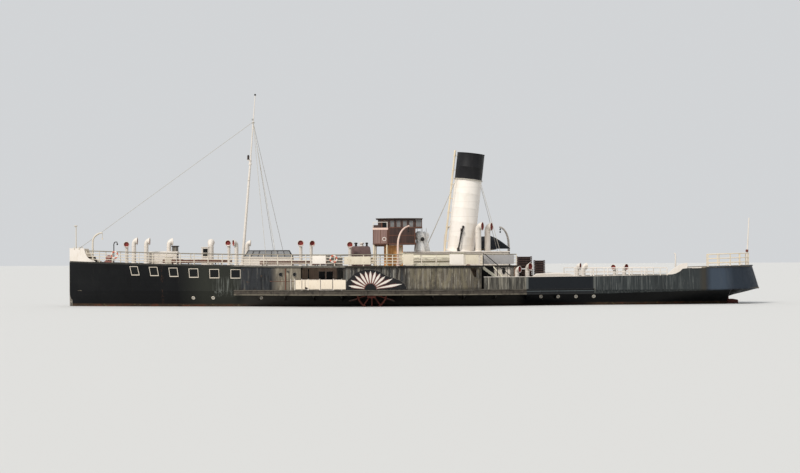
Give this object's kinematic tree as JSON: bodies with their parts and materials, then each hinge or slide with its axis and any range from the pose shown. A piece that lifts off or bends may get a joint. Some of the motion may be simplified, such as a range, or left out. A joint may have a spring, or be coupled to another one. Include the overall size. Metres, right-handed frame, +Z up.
{
  "type": "paddle steamer, half-size scale model",
  "caption": "Half-size side-wheel paddle ferry with raked funnel, mast, bridge, lifeboats, davits, fan-fronted paddle boxes, turning wheels, rudder, gates and wheelhouse doors.",
  "frame": {"origin": "amidships on the centreline, at the waterline", "axes": "+X towards the stern, +Y to starboard, +Z up"},
  "size_m": [31.905, 8.72, 10.545],
  "materials": {
    "hull_black": "weathered satin",
    "grey_plating": "weathered matt, streaked",
    "white_paint": "worn gloss",
    "funnel_white": "satin",
    "funnel_black": "satin",
    "deck_planks": "scrubbed",
    "varnished_wood": "worn varnish",
    "dark_wood": "weathered varnish",
    "rusty_iron": "rusted",
    "dark_iron": "painted",
    "rigging_wire": "dull",
    "canvas": "matt",
    "window_glass": "clear",
    "rope": "matt",
    "brass": "dull"
  },
  "bodies": {
    "ship": {"hull": "hull_black", "engine_block": "dark_iron", "boiler_block": "dark_iron", "main_deck": "deck_planks", "starboard_sponson": "hull_black", "port_sponson": "hull_black", "forward_hull_sides": "hull_black", "main_deckhouse": "varnished_wood", "starboard_forward_house": "grey_plating", "port_forward_house": "grey_plating", "starboard_paddle_box": "grey_plating", "port_paddle_box": "grey_plating", "starboard_after_house": "grey_plating", "port_after_house": "grey_plating", "starboard_gangway_rail": "white_paint", "port_gangway_rail": "white_paint", "starboard_after_bulwark": "grey_plating", "port_after_bulwark": "grey_plating", "stern_sides": "grey_plating", "poop_deck": "deck_planks", "promenade_deck": "deck_planks", "bow_bulwark": "white_paint", "starboard_promenade_rail": "white_paint", "port_promenade_rail": "white_paint", "saloon_skylight": "white_paint", "forward_companion": "white_paint", "boiler_casing": "white_paint", "funnel": "funnel_white", "funnel_top": "funnel_black", "funnel_stays": "rigging_wire", "steam_pipe": "rusty_iron", "bridge_deck": "dark_wood", "bridge_deckhouse": "varnished_wood", "wheelhouse": "dark_wood", "wheelhouse_roof": "dark_wood", "starboard_bridge_wing": "varnished_wood", "port_bridge_wing": "varnished_wood", "mast": "white_paint", "mast_stays": "rigging_wire", "port_lifeboat": "white_paint", "starboard_lifeboat": "canvas", "starboard_stair": "white_paint", "port_stair": "white_paint", "stacked_seats": "dark_wood", "stern_rail": "white_paint", "anchor_davit": "white_paint"},
    "paddle_wheels": {"paddle_shaft": "dark_iron", "starboard_paddle_wheel": "rusty_iron", "port_paddle_wheel": "rusty_iron"},
    "rudder": {"rudder": "rusty_iron"},
    "port_gate": {"port_gangway_gate": "white_paint"},
    "starboard_gate": {"starboard_gangway_gate": "white_paint"},
    "port_door": {"port_wheelhouse_door": "varnished_wood"},
    "starboard_door": {"starboard_wheelhouse_door": "varnished_wood"},
    "port_forward_davit": {"port_forward_davit": "white_paint"},
    "starboard_forward_davit": {"starboard_forward_davit": "white_paint"},
    "starboard_after_davit": {"starboard_after_davit": "white_paint"}
  },
  "joints": [
    {"name": "paddle_wheels_turn", "type": "hinge", "parent": "ship", "child": "paddle_wheels", "pos_m": [-1.9, 0, 0.575], "axis": [0, 1, 0], "continuous": true},
    {"name": "rudder_turn", "type": "hinge", "parent": "ship", "child": "rudder", "pos_m": [14.51, 0, -0.3], "axis": [0, 0, 1], "range_deg": [-35, 35]},
    {"name": "port_gate_swing", "type": "hinge", "parent": "ship", "child": "port_gate", "pos_m": [-4.14, -4.049, 0.99], "axis": [0, 0, 1], "range_deg": [0, 90]},
    {"name": "starboard_gate_swing", "type": "hinge", "parent": "ship", "child": "starboard_gate", "pos_m": [-4.14, 4.049, 0.99], "axis": [0, 0, 1], "range_deg": [-90, 0]},
    {"name": "port_door_swing", "type": "hinge", "parent": "ship", "child": "port_door", "pos_m": [-1.504, -1.025, 3.3], "axis": [0, 0, 1], "range_deg": [-90, 0]},
    {"name": "starboard_door_swing", "type": "hinge", "parent": "ship", "child": "starboard_door", "pos_m": [-1.504, 1.025, 3.3], "axis": [0, 0, 1], "range_deg": [0, 90]},
    {"name": "port_forward_davit_swivel", "type": "hinge", "parent": "ship", "child": "port_forward_davit", "pos_m": [-0.735, -4.15, 1.9], "axis": [0, 0, 1], "range_deg": [-100, 0]},
    {"name": "starboard_forward_davit_swivel", "type": "hinge", "parent": "ship", "child": "starboard_forward_davit", "pos_m": [1.475, 2.425, 1.9], "axis": [0, 0, 1], "range_deg": [0, 100]},
    {"name": "starboard_after_davit_swivel", "type": "hinge", "parent": "ship", "child": "starboard_after_davit", "pos_m": [4.525, 2.375, 1.9], "axis": [0, 0, 1], "range_deg": [-100, 0]}
  ]
}
